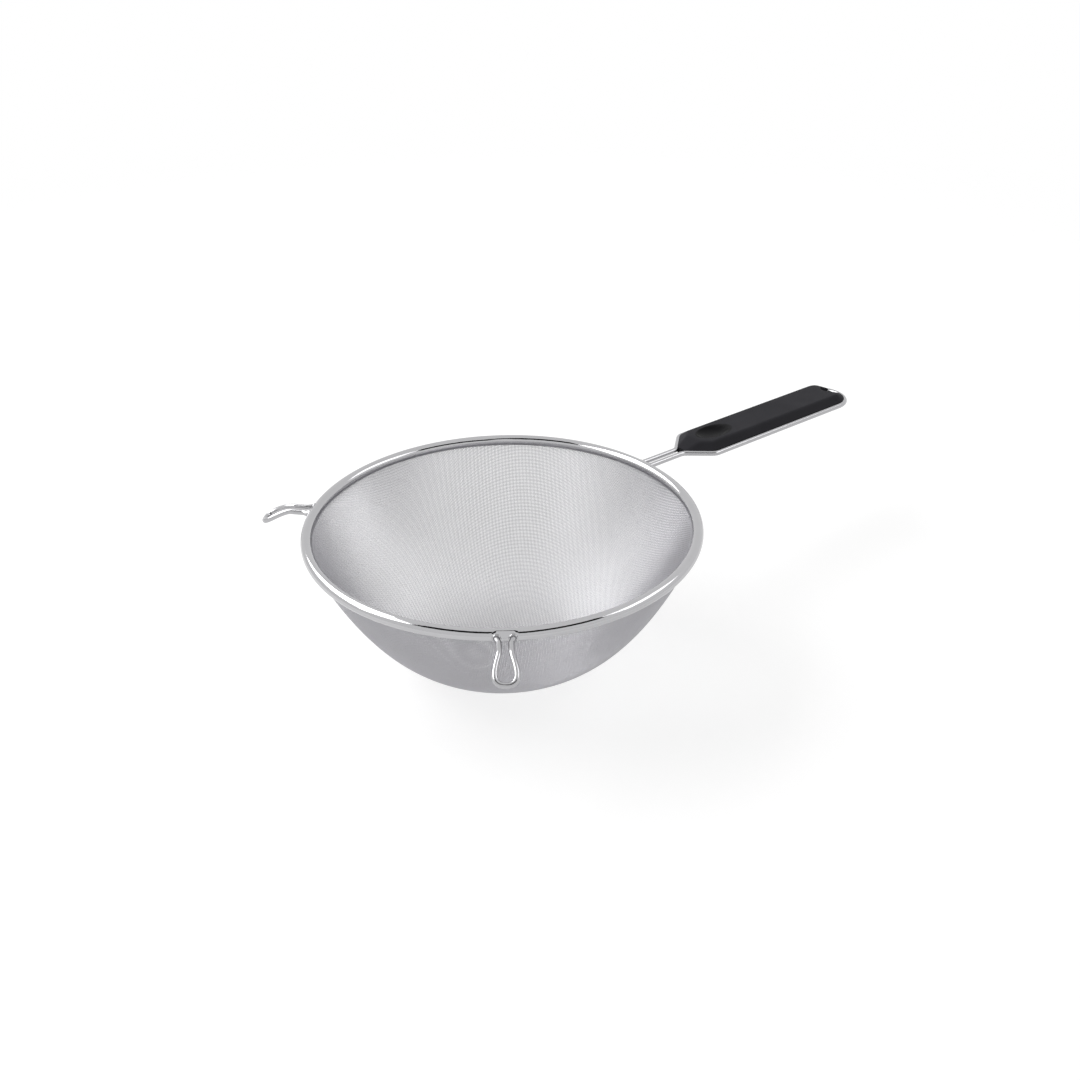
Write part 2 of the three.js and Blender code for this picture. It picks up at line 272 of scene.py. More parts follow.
def grip_plastic(name, tint, dish, size):
    """Dark moulded plastic with a fine spark grain, and a smooth thumb dish at the given place whose colour
    is darkened there as painted shade.
    """
    finish = Finish(name)
    place = finish.coordinates()
    grain = finish.noise(place, 2600.0, 2.0)
    rubbed = finish.noise(place, 60.0, 3.0)
    from_dish = finish.node("ShaderNodeVectorMath", {"operation": "SUBTRACT"}, {0: place, 1: dish})
    scaled = finish.node("ShaderNodeVectorMath", {"operation": "DIVIDE"}, {0: from_dish, 1: size})
    away = finish.node("ShaderNodeVectorMath", {"operation": "LENGTH"}, {0: scaled}, "Value")
    edge = {"Value": away, "From Min": 0.9, "From Max": 1.0, "To Min": 1.0, "To Max": 0.0}
    smooth_and_painted_shade = finish.node("ShaderNodeMapRange", {"interpolation_type": "SMOOTHSTEP"}, edge)
    outside = finish.mix(rubbed, rgba(tint, 0.88), rgba(tint, 1.2))
    # Painted shade: inside the dish mask the base colour falls to a fifth of the tint, and the lower
    # roughness there is the real smooth finish
    base = finish.mix(smooth_and_painted_shade, outside, rgba(tint, 0.2))
    roughness = 0.5 + 0.16 * (grain - 0.5) - 0.12 * (rubbed - 0.5) - 0.15 * smooth_and_painted_shade
    return finish.set(
        Base_Color=base, Metallic=0.0, Roughness=roughness, Specular_IOR_Level=0.03,
        Normal=finish.bump(grain, 0.25, 0.00012),
    )


def grid(rows, columns, wrap_rows=False, wrap_columns=False):
    """Quads of a rows by columns grid of points, with the unit-square place of every corner."""
    row_cells = rows if wrap_rows else rows - 1
    column_cells = columns if wrap_columns else columns - 1
    r, c = np.meshgrid(np.arange(row_cells), np.arange(column_cells), indexing="ij")
    steps = ((0, 0), (0, 1), (1, 1), (1, 0))
    corners = [((r + i) % rows) * columns + (c + j) % columns for i, j in steps]
    places = [np.stack([(r + i) / row_cells, (c + j) / column_cells], -1) for i, j in steps]
    return np.stack(corners, -1).reshape(-1, 4), np.stack(places, -2).reshape(-1, 4, 2)


def new_mesh(name, points, faces, places):
    """Fills a mesh from arrays: points, a list of face arrays and a unit-square place for each corner."""
    mesh = bpy.data.meshes.new(name)
    sizes = np.concatenate([np.full(len(part), part.shape[1]) for part in faces])
    corners = np.concatenate([part.ravel() for part in faces])
    starts = np.concatenate([[0], np.cumsum(sizes)[:-1]])
    mesh.vertices.add(len(points))
    mesh.vertices.foreach_set("co", np.asarray(points, np.float32).ravel())
    mesh.loops.add(len(corners))
    mesh.polygons.add(len(sizes))
    mesh.polygons.foreach_set("loop_start", starts.astype(np.int32))
    mesh.loops.foreach_set("vertex_index", corners.astype(np.int32))
    layer = mesh.uv_layers.new(name="OFBake")
    flat = np.concatenate([part.reshape(-1, 2) for part in places])
    layer.data.foreach_set("uv", flat.astype(np.float32).ravel())
    mesh.polygons.foreach_set("use_smooth", np.ones(len(sizes), bool))
    mesh.update(calc_edges=True)
    mesh.validate()
    return mesh


def add_piece(name, mesh, material, node):
    """Links a finished mesh as a piece on the root body, in place of a CAD node."""
    mesh.materials.append(material)
    piece = bpy.data.objects.new(name, mesh)
    bpy.context.scene.collection.objects.link(piece)
    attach(piece, "root")
    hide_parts(node)


def unit(vectors):
    """Vectors divided by their lengths."""
    return vectors / np.linalg.norm(vectors, axis=-1, keepdims=True)


def swept_tube(path, radius, sides, up):
    """A round section carried along a path: each ring is the path point plus radius times the
    cosine along the up side and the sine along the level side. Ends close on their middles."""
    tangent = unit(np.gradient(path, axis=0))
    level = unit(np.cross(np.broadcast_to(up, tangent.shape), tangent))
    upright = np.cross(tangent, level)
    turn = np.arange(sides) * (2 * math.pi / sides)
    rings = path[:, None] + radius * (
        np.cos(turn)[:, None] * upright[:, None] + np.sin(turn)[:, None] * level[:, None]
    )
    count = len(path)
    points = np.concatenate([rings.reshape(-1, 3), path[:1], path[-1:]])
    quads, places = grid(count, sides, wrap_columns=True)
    side = np.arange(sides)
    after = (side + 1) % sides
    last = (count - 1) * sides
    first_cap = np.stack([np.full(sides, count * sides), after, side], -1)
    last_cap = np.stack([np.full(sides, count * sides + 1), last + side, last + after], -1)
    caps = np.concatenate([first_cap, last_cap])
    return points, [quads[:, ::-1], caps], [places[:, ::-1], np.zeros((len(caps), 3, 2))]


def joined(parts):
    """Several surfaces as one: points end to end, face numbers moved along."""
    points, faces, places = [], [], []
    start = 0
    for part_points, part_faces, part_places in parts:
        points.append(part_points)
        faces.extend(face + start for face in part_faces)
        places.extend(part_places)
        start += len(part_points)
    return np.concatenate(points), faces, places


def handle_frame_of(points, settings):
    """Handle coordinates (out from the rim's edge, across, up) into the part's frame."""
    lean = settings.slope
    rim = bpy.context.scene.strainer_rim
    out = points[..., 0] * math.cos(lean) + points[..., 2] * math.sin(lean)
    rise = -points[..., 0] * math.sin(lean) + points[..., 2] * math.cos(lean)
    placed = np.stack([out + rim.radius, points[..., 1], rise + settings.rise], -1)
    return placed + RIM_CENTRE


def rounded_corner(before, corner, after, radius, count):
    """A bend as a quadratic curve between the points where its radius leaves the two straights."""
    back = unit(before - corner)
    ahead = unit(after - corner)
    half = math.acos(float(back @ ahead)) / 2
    cut = radius / math.tan(half)
    t = np.linspace(0.0, 1.0, count)[:, None]
    start = corner + back * cut
    end = corner + ahead * cut
    return (1 - t) ** 2 * start + 2 * t * (1 - t) * corner + t ** 2 * end


def cubic(start, lead, trail, end, count):
    """Points of a cubic curve from its two ends and the two points that draw it."""
    t = np.linspace(0.0, 1.0, count)[:, None]
    return (1 - t) ** 3 * start + 3 * t * (1 - t) ** 2 * lead + 3 * t ** 2 * (1 - t) * trail + t ** 3 * end


def frame_half(settings, foot):
    """One leg of the frame in plan: foot, neck bend, shoulder bend and the end of its straight."""
    half = settings.width / 2
    neck = np.array([settings.neck, settings.spacing / 2])
    shoulder = np.array([settings.neck + settings.taper, half])
    end = np.array([settings.neck + settings.taper + settings.grip, half])
    start = np.array([foot, settings.spacing / 2])
    neck_bend = rounded_corner(start, neck, shoulder, settings.bend, 12)
    shoulder_bend = rounded_corner(neck, shoulder, end, settings.bend, 12)
    t = np.linspace(0.0, 1.0, 13)[:-1, None]
    leg = start + t * (neck_bend[0] - start)
    middle = neck_bend[-1] + t[1:] * (shoulder_bend[0] - neck_bend[-1])
    s = np.linspace(0.0, 1.0, 60)[1:, None]
    straight = shoulder_bend[-1] + s * (end - shoulder_bend[-1])
    return np.concatenate([leg, neck_bend, middle, shoulder_bend, straight])


class STRAINER_OT_cloth(bpy.types.Operator):
    """Weave the bowl from two families of wires that cross at equal spacing"""

    bl_idname = "strainer.cloth"
    bl_label = "Woven Bowl"

    def meridian(self, cloth):
        """The bowl's section by arc length: depth falls with a power of the radius, and an upright
        collar follows, long enough to be cut anywhere in the rim."""
        share = np.linspace(0.0, 1.0, 4001)
        radius = cloth.mouth * share
        height = -cloth.collar - cloth.depth * (1 - share ** cloth.power)
        radius = np.append(radius, cloth.mouth)
        height = np.append(height, 10 * cloth.collar)
        arc = np.concatenate([[0.0], np.cumsum(np.hypot(np.diff(radius), np.diff(height)))])
        return arc, radius, height

    def surface(self, cloth, plan):
        """Points of the bowl over developed places: distance and direction from the bottom."""
        arc, radius, height = self.meridian(cloth)
        s = np.linalg.norm(plan, axis=-1)
        way = plan / np.maximum(s, 1e-9)[..., None]
        r = np.interp(s, arc, radius)
        z = np.interp(s, arc, height)
        return np.stack([r * way[..., 0], r * way[..., 1], z], -1)

    def net(self, cloth, count):
        """A net of equal cells: each crossing is one pitch from its two neighbours nearer the middle.
        Whole diagonals are solved at once by Newton's method on the developed place."""
        pitch = cloth.pitch
        passes = 5
        step = 1e-7
        least_det = 0.02
        plan = np.zeros((count, count, 2))
        axis = np.arange(count) * pitch
        plan[:, 0, 0] = axis
        plan[0, :, 1] = axis
        for k in range(2, 2 * count - 1):
            i = np.arange(max(1, k - count + 1), min(count - 1, k - 1) + 1)
            j = k - i
            first, second, behind = plan[i - 1, j], plan[i, j - 1], plan[i - 1, j - 1]
            anchor = np.stack([self.surface(cloth, first), self.surface(cloth, second)], 1)
            guess = first + second - behind
            for _ in range(passes):
                here = self.surface(cloth, guess)
                miss = np.linalg.norm(here[:, None] - anchor, axis=-1) - pitch
                slopes = []
                for shift in ((step, 0.0), (0.0, step)):
                    moved = self.surface(cloth, guess + shift)
                    slopes.append((np.linalg.norm(moved[:, None] - anchor, axis=-1) - pitch - miss) / step)
                a, b = slopes
                det = a[:, 0] * b[:, 1] - a[:, 1] * b[:, 0]
                det = np.where(np.abs(det) < least_det, np.copysign(least_det, det), det)
                dx = (miss[:, 0] * b[:, 1] - miss[:, 1] * b[:, 0]) / det
                dy = (a[:, 0] * miss[:, 1] - a[:, 1] * miss[:, 0]) / det
                guess = guess - np.clip(np.stack([dx, dy], -1), -pitch / 2, pitch / 2)
            plan[i, j] = guess
        return plan

    def wires(self, centre, normal, inside, lift, radius):
        """Four-sided wires along the second index, lifted in turn to either side of the surface."""
        rows, columns = inside.shape
        spine = centre + normal * lift[..., None]
        tangent = unit(np.gradient(spine, axis=1))
        across = unit(np.cross(normal, tangent))
        outward = np.cross(tangent, across)
        turn = np.arange(4) * (math.pi / 2)
        ring = np.cos(turn)[:, None] * outward[..., None, :] + np.sin(turn)[:, None] * across[..., None, :]
        points = (spine[..., None, :] + radius * ring).reshape(-1, 3)
        r, c = np.nonzero(inside[:, :-1] & inside[:, 1:])
        start = (r * columns + c) * 4
        side = np.arange(4)
        after = (side + 1) % 4
        corners = np.stack([side, after, 4 + after, 4 + side], -1)
        quads = (start[:, None, None] + corners).reshape(-1, 4)

        # Each wire has a row of the unit square, and each of its sides a strip of that row
        strip = 0.24
        margin = 0.02
        u = np.stack([c, c, c + 1, c + 1], -1)[:, None] / columns + np.zeros((1, 4, 1))
        v = (r[:, None, None] + np.stack([side, side + 1, side + 1, side], -1)[None] * strip + margin) / rows
        places = np.stack([u, v], -1).reshape(-1, 4, 2)

        # A flat cap closes each wire where it ends
        held = inside & (np.roll(inside, 1, 1) | np.roll(inside, -1, 1))
        head = held & ~np.roll(inside, 1, 1)
        tail = held & ~np.roll(inside, -1, 1)
        base = (np.arange(rows * columns) * 4).reshape(rows, columns)
        caps = np.concatenate([base[head][:, None] + side[::-1], base[tail][:, None] + side])
        faces = np.concatenate([quads, caps])
        places = np.concatenate([places, np.zeros((len(caps), 4, 2))])
        used, faces = np.unique(faces, return_inverse=True)
        return points[used], [faces.reshape(-1, 4)[:, ::-1]], [places[:, ::-1]]

    def execute(self, context):
        cloth = context.scene.strainer_cloth
        arc, _, height = self.meridian(cloth)
        top = float(np.interp(-CLEARANCE, height, arc))
        count = int(top / cloth.pitch) + 2
        quarter = self.net(cloth, count)
        index = np.arange(1 - count, count)
        i, j = np.meshgrid(index, index, indexing="ij")
        plan = quarter[np.abs(i), np.abs(j)] * np.where(np.stack([i, j], -1) < 0, -1, 1)
        c, s = math.cos(cloth.turn), math.sin(cloth.turn)
        plan = np.stack([c * plan[..., 0] - s * plan[..., 1], s * plan[..., 0] + c * plan[..., 1]], -1)
        centre = self.surface(cloth, plan)
        inside = np.linalg.norm(plan, axis=-1) <= top
        along_i = np.gradient(centre, axis=0)
        along_j = np.gradient(centre, axis=1)
        normal = unit(np.cross(along_i, along_j))
        lift = np.where((i + j) % 2 == 0, 1.0, -1.0) * cloth.wire / 2
        centre = centre + RIM_CENTRE
        material = cloth_steel("cloth_wire_steel", cloth.tint)

        # Each family is split into four bands of about equal length of wire
        share = np.cumsum(inside.sum(1)) / inside.sum()
        bands = np.split(np.arange(len(index)), np.searchsorted(share, (0.25, 0.5, 0.75)))
        families = (
            ("warp", centre, normal, inside, lift),
            ("weft", *(np.swapaxes(part, 0, 1) for part in (centre, normal, inside, -lift))),
        )
        for family, spine, face, held, side in families:
            for number, band in enumerate(bands, 1):
                points, faces, places = self.wires(
                    spine[band], face[band], held[band], side[band], cloth.wire / 2
                )
                mesh = new_mesh(f"{family}_wires_{number}", points, faces, places)
                add_piece(f"cloth_{family}_{number}", mesh, material, "mesh_bowl")
        return {"FINISHED"}


class STRAINER_OT_rim(bpy.types.Operator):
    """Turn the slotted tube section about the bowl's axis"""

    bl_idname = "strainer.rim"
    bl_label = "Rim Tube"

    def section(self, rim):
        """A slotted ring: angle and reach of the outer arc, then of the inner arc back."""
        outer_from = -math.acos((rim.slot / 2 - rim.inset) / rim.tube)
        outer_to = 2 * math.pi - math.acos((-rim.slot / 2 - rim.inset) / rim.tube)
        bore = rim.tube - rim.wall
        inner_from = 2 * math.pi - math.acos((-rim.slot / 2 - rim.inset) / bore)
        inner_to = -math.acos((rim.slot / 2 - rim.inset) / bore)
        outer = np.linspace(outer_from, outer_to, 49)
        inner = np.linspace(inner_from, inner_to, 29)
        reach = np.concatenate([np.full_like(outer, rim.tube), np.full_like(inner, bore)])
        return np.concatenate([outer, inner]), reach

    def pressed(self, rim, rest, turn, lean, reach):
        """Reach of the section where a rest is welded on: cut to a flat face that looks up and out,
        and blended into the round tube past the feet."""
        past_feet = 1.6 * MM
        run_out = 1.4 * MM
        look = math.radians(31)
        depth_share = 0.8
        away = np.minimum(np.abs(turn - math.pi + rest.angle), np.abs(turn - math.pi - rest.angle))
        blend = np.clip((rest.foot / 2 + past_feet - away * rim.radius) / run_out, 0.0, 1.0)
        blend = blend * blend * (3 - 2 * blend)
        face = depth_share * reach / np.maximum(np.cos(lean - look), 0.1)
        return reach + blend[:, None] * (np.minimum(reach, face) - reach)[None]

    def execute(self, context):
        rim = context.scene.strainer_rim
        lean, plain = self.section(rim)
        steps = 720
        turn = np.arange(steps) * (2 * math.pi / steps)
        reach = self.pressed(rim, context.scene.strainer_rest, turn, lean, plain)
        r = rim.radius - rim.tube + reach * np.cos(lean)
        points = np.stack([np.cos(turn)[:, None] * r, np.sin(turn)[:, None] * r, reach * np.sin(lean)], -1)
        quads, places = grid(steps, len(lean), wrap_rows=True, wrap_columns=True)
        mesh = new_mesh("rim_tube", points.reshape(-1, 3) + RIM_CENTRE, [quads], [places])
        material = polished_steel("rim_polished_steel", rim.tint, rough=0.08)
        add_piece("rim_tube", mesh, material, "rim_hoop")
        return {"FINISHED"}


def foot_bead(rim, height, across, wire):
    """A small raised bead round a wire foot: a ring round the wire that follows the tube's curve."""
    steps = 40
    sides = 12
    thick = 0.42 * MM
    turn = np.arange(steps) * (2 * math.pi / steps)
    small = np.arange(sides) * (2 * math.pi / sides)
    reach = wire / 2 + CLEARANCE + thick * np.cos(small)
    y = across + np.outer(np.cos(turn), reach)
    z = height + np.outer(np.sin(turn), reach)
    level = np.minimum(np.abs(z), 0.94 * rim.tube)
    side = rim.radius - rim.tube + np.sqrt(rim.tube ** 2 - level ** 2)
    x = np.sqrt(np.maximum(side ** 2 - y ** 2, 0.0)) - rim.radius + thick * np.sin(small)
    quads, places = grid(steps, sides, wrap_rows=True, wrap_columns=True)
    return np.stack([x, y, z], -1).reshape(-1, 3), [quads], [places]


class STRAINER_OT_frame(bpy.types.Operator):
    """Bend the handle frame from one wire"""

    bl_idname = "strainer.frame"
    bl_label = "Handle Frame"

    def execute(self, context):
        handle = context.scene.strainer_handle
        rim = context.scene.strainer_rim
        leg = frame_half(handle, -FOOT_ENTRY)
        end = leg[-1, 0]
        turn = np.linspace(math.pi / 2, -math.pi / 2, 66)[1:-1, None]
        bow = np.concatenate([end + leg[-1, 1] * np.cos(turn), leg[-1, 1] * np.sin(turn)], 1)
        plan = np.concatenate([leg, bow, leg[::-1] * (1, -1)])
        path = np.column_stack([plan, np.zeros(len(plan))])
        points, faces, places = swept_tube(path, handle.wire / 2, 20, (0.0, 0.0, 1.0))
        beads = [foot_bead(rim, handle.rise, side * handle.spacing / 2, handle.wire) for side in (-1, 1)]
        placed = handle_frame_of(points, handle)
        welds = [(part[0] + RIM_CENTRE + (rim.radius, 0, 0), part[1], part[2]) for part in beads]
        mesh = new_mesh("handle_wire", *joined([(placed, faces, places), *welds]))
        material = polished_steel("handle_wire_steel", handle.tint, rough=0.22)
        add_piece("handle_wire", mesh, material, "handle_frame")
        return {"FINISHED"}


class STRAINER_OT_rests(bpy.types.Operator):
    """Bend the two pear-shaped rests"""

    bl_idname = "strainer.rests"
    bl_label = "Rests"

    def path(self, rest):
        """Half of the loop as cubic curves: a foot that draws in from the rim, a straight leg and
        a bend out to the tip, then the mirror image back."""
        half = rest.spacing / 2
        spread = rest.foot / 2
        bulge = (rest.width / 2 - half * 7 / 27) * 9 / 4
        foot = np.array([-FOOT_ENTRY, spread, 0.0])
        seat = np.array([0.0, spread, 0.0])
        neck = np.array([rest.flare, half, 0.0])
        bend = np.array([rest.flat, half, 0.0])
        wide = np.array([rest.reach, bulge, -rest.fall])
        tip = np.array([rest.reach, 0.0, -rest.fall])
        draw = np.array([rest.flare / 2, 0.0, 0.0])
        lead = np.array([rest.lead, 0.0, 0.0])
        s = np.linspace(0.0, 1.0, 8)[:-1, None]
        runs = [
            foot + s * (seat - foot), cubic(seat, seat + draw, neck - draw, neck, 20)[:-1],
            neck + s * (bend - neck), cubic(bend, bend + lead, wide, tip, 60),
        ]
        half_path = np.concatenate(runs)
        return np.concatenate([half_path, half_path[-2::-1] * (1, -1, 1)])

    def execute(self, context):
        rest = context.scene.strainer_rest
        rim = context.scene.strainer_rim
        handle = context.scene.strainer_handle
        wire = swept_tube(self.path(rest), rest.wire / 2, 20, (0.0, 0.0, 1.0))
        lifted = (wire[0] + (0, 0, rest.rise), wire[1], wire[2])
        beads = [foot_bead(rim, rest.rise, side * rest.foot / 2, rest.wire) for side in (-1, 1)]
        points, faces, places = joined([lifted, *beads])
        material = polished_steel("rest_wire_steel", handle.tint, rough=0.17)
        for name, angle in (("left", math.pi - rest.angle), ("right", math.pi + rest.angle)):
            out = points[:, 0] + rim.radius
            c, s = math.cos(angle), math.sin(angle)
            turned = np.column_stack([out * c - points[:, 1] * s, out * s + points[:, 1] * c, points[:, 2]])
            mesh = new_mesh(f"rest_{name}", turned + RIM_CENTRE, faces, places)
            add_piece(f"rest_{name}", mesh, material, f"rest_loop_{name}")
        return {"FINISHED"}


def soft_least(first, second, radius):
    """The lesser of two heights with a rounded join of about the given radius."""
    blend = np.clip(0.5 + 0.5 * (second - first) / radius, 0.0, 1.0)
    return second * (1 - blend) + first * blend - radius * blend * (1 - blend)


class STRAINER_OT_grip(bpy.types.Operator):
    """Mould the grip between the frame's legs"""

    bl_idname = "strainer.grip"
    bl_label = "Grip"

    rise: length("Rise", "Height of the grip's top above the wire", 5.0 * MM)
    drop: length("Drop", "Depth of the grip's underside below the wire", 2.2 * MM)
    lip: length("Lip", "Height where the upper chamfer starts", 1.2 * MM)
    chamfer: length("Chamfer", "Distance of the flat top from the wire", 4.8 * MM)
    lower: length("Lower chamfer", "Distance of the flat underside from the wire", 1.4 * MM)
    groove: length("Groove", "Radius of the groove that holds the wire", 1.7 * MM)
    nose: length("Nose", "Distance of the grip's nose from the neck bend", 1.2 * MM)
    slope: length("Nose slope", "Length of the sloped nose", 9.0 * MM)
    tail: length("Tail slope", "Length of the sloped end beside the hanging notch", 10.0 * MM)
    notch: length("Notch", "Length of the hanging notch", 12.5 * MM)
    gape: length("Notch width", "Width of the hanging notch", 9.0 * MM)
    setback: length("Dish place", "Distance of the thumb dish from the taper", 11.0 * MM)
    dish_length: length("Dish length", "Length of the thumb dish", 20.0 * MM)
    dish_width: length("Dish width", "Width of the thumb dish", 13.0 * MM)
    dish_depth: length("Dish depth", "Depth of the thumb dish", 1.6 * MM)

    def stations(self, handle):
        """Pairs of plan points: one on the wire's line, one on the middle line or the notch's edge."""
        start = handle.neck + self.nose
        leg = frame_half(handle, -FOOT_ENTRY)
        dense_to = start + 28 * MM
        dense = np.linspace(start, dense_to, 46)
        x = np.unique(np.concatenate([dense, np.linspace(dense_to, leg[-1, 0], 36)]))
        edge = np.column_stack([x, np.interp(x, leg[:, 0], leg[:, 1])])
        middle = np.column_stack([x, np.zeros(len(x))])
        half = handle.width / 2
        end = leg[-1, 0]
        tip = math.asin(self.gape / handle.width)
        turn = np.linspace(math.pi / 2, tip, 49)[1:]
        bow = np.column_stack([end + half * np.cos(turn), half * np.sin(turn)])
        low = end + half - self.notch
        centre = low + self.gape / 2
        curl = np.linspace(0.0, math.pi / 2, 24)
        round_end = np.column_stack([centre - self.gape / 2 * np.cos(curl), self.gape / 2 * np.sin(curl)])
        wall = np.array([[end, 0.0], *round_end, bow[-1]])
        run = np.concatenate([[0.0], np.cumsum(np.linalg.norm(np.diff(wall, axis=0), axis=1))])
        s = np.linspace(0.0, run[-1], 49)[1:]
        inner = np.column_stack([np.interp(s, run, wall[:, 0]), np.interp(s, run, wall[:, 1])])
        return np.concatenate([edge, bow]), np.concatenate([middle, inner]), len(x)

    def edge_distance(self, handle, x, y):
        """Distance of a plan point from the wire's line: straight sides, taper and round end."""
        half = handle.width / 2
        shoulder = handle.neck + handle.taper
        end = shoulder + handle.grip
        lean = math.atan2(half - handle.spacing / 2, handle.taper)
        straight = np.where(x > end, half - np.hypot(x - end, y), half - y)
        taper = (x - handle.neck) * math.sin(lean) - (y - handle.spacing / 2) * math.cos(lean)
        return soft_least(straight, taper, 0.8 * MM)

    def notch_distance(self, handle, x, y):
        """Distance of a plan point outside the hanging notch from its edge."""
        low = handle.neck + handle.taper + handle.grip + handle.width / 2 - self.notch
        centre = low + self.gape / 2
        return np.hypot(np.minimum(x - centre, 0.0), y) - self.gape / 2

    def heights(self, handle, x, y):
        """Top and underside: flat faces met by chamfers, sloped ends, a thumb dish and rounded notch
        edges. Where two faces meet, the lesser height holds, with a small rounding."""
        side_round = 0.7 * MM
        top_round = 0.9 * MM
        under_round = 0.4 * MM
        notch_round = 0.7 * MM
        d = self.edge_distance(handle, x, y)
        ramp = (self.rise - self.lip) / (self.chamfer - CLEARANCE)
        side = self.lip + (d - CLEARANCE) * ramp
        nose = self.lip + (x - handle.neck - self.nose) * (self.rise - self.lip) / self.slope
        apex = handle.neck + handle.taper + handle.grip + handle.width / 2
        tail = self.lip + (apex - x) * (self.rise - self.lip) / self.tail
        ends = soft_least(nose, tail, side_round)
        top = soft_least(soft_least(side, ends, side_round), np.full_like(x, self.rise), top_round)
        dish_x = (x - handle.neck - handle.taper - self.setback) / (self.dish_length / 2)
        dish_y = y / (self.dish_width / 2)
        dish = self.dish_depth * np.clip(1 - dish_x ** 2 - dish_y ** 2, 0.0, 1.0) ** 0.75
        top = top - dish
        lower_ramp = (self.drop - self.lip) / (self.lower - CLEARANCE)
        under_side = self.lip + (d - CLEARANCE) * lower_ramp
        under = soft_least(under_side, np.full_like(x, self.drop), under_round)
        near = np.clip(1 - self.notch_distance(handle, x, y) / notch_round, 0.0, 1.0)
        soften = notch_round * (1 - np.sqrt(1 - near ** 2))
        return top - soften, -under + soften

    def half_surface(self, handle):
        """Rows from the middle over the top, round the wire's groove and back under to the middle."""
        edge, middle, plain = self.stations(handle)
        span = middle - edge
        reach = np.linalg.norm(span, axis=1)
        way = span / np.maximum(reach, 1e-9)[:, None]

        # Rows are close together from the wire to the chamfer's crease, and even from there to the middle
        crease = self.chamfer + np.linspace(-0.9, 0.9, 8) * MM
        fine = np.concatenate([np.linspace(0.62 * MM, crease[0], 6)[:-1], crease])
        share = np.minimum(1.0, 0.8 * reach / fine[-1])
        near = fine[None] * share[:, None]
        spread = np.linspace(0.0, 1.0, 16)[1:]
        far = near[:, -1:] + (reach[:, None] - near[:, -1:]) * spread[None]
        rows = np.concatenate([near, far], 1)
        plan = edge[:, None] + way[:, None] * rows[..., None]
        top, under = self.heights(handle, plan[..., 0], plan[..., 1])
        top_points = np.concatenate([plan, top[..., None]], -1)
        under_points = np.concatenate([plan, under[..., None]], -1)

        # The groove is an arc round the wire, less deep where the grip is narrow
        opening = math.radians(66)
        bend = np.linspace(opening, -opening, 9)[1:-1]
        inset = self.groove * np.cos(bend)[None] * np.minimum(1.0, 0.6 * reach / self.groove)[:, None]
        groove_plan = edge[:, None] + way[:, None] * inset[..., None]
        groove_height = np.broadcast_to(self.groove * np.sin(bend), inset.shape)
        groove = np.concatenate([groove_plan, groove_height[..., None]], -1)
        return np.concatenate([top_points[:, ::-1], groove, under_points], 1), plain

    def execute(self, context):
        handle = context.scene.strainer_handle
        points, plain = self.half_surface(handle)
        stations, rows = points.shape[:2]
        quads, places = grid(stations, rows)
        ring = np.arange(rows)
        wall_from = np.arange(plain, stations - 1) * rows
        wall = np.stack([wall_from, wall_from + rows, wall_from + 2 * rows - 1, wall_from + rows - 1], -1)
        wall_places = np.zeros((len(wall), 4, 2))
        flat = points.reshape(-1, 3)
        other = flat * (1, -1, 1)
        nose = np.concatenate([ring[::-1], stations * rows + ring])[None]
        faces = [quads, wall, quads[:, ::-1] + len(flat), wall[:, ::-1] + len(flat), nose]
        half = places * (1.0, 0.5)
        spare = np.zeros((1, 2 * rows, 2))
        layout = [half, wall_places, half[:, ::-1] + (0.0, 0.5), wall_places, spare]
        placed = handle_frame_of(np.concatenate([flat, other]), handle)
        mesh = new_mesh("grip_moulding", placed, faces, layout)
        merged = bmesh.new()
        merged.from_mesh(mesh)
        bmesh.ops.remove_doubles(merged, verts=merged.verts, dist=2e-6)
        bmesh.ops.recalc_face_normals(merged, faces=merged.faces)
        merged.to_mesh(mesh)
        merged.free()

        # The smooth finish and the painted shade of the dish reach a little past the dish, further towards
        # the hanging end
        smooth_and_shade_centre = handle.neck + handle.taper + self.setback + 0.08 * self.dish_length
        dish = handle_frame_of(np.array([smooth_and_shade_centre, 0.0, self.rise]), handle)
        size = (0.68 * self.dish_length, 0.56 * self.dish_width, self.rise)
        material = grip_plastic("grip_matte_plastic", handle.plastic, tuple(dish), size)
        add_piece("grip_moulding", mesh, material, "grip")
        mesh.set_sharp_from_angle(angle=math.radians(38))
        return {"FINISHED"}


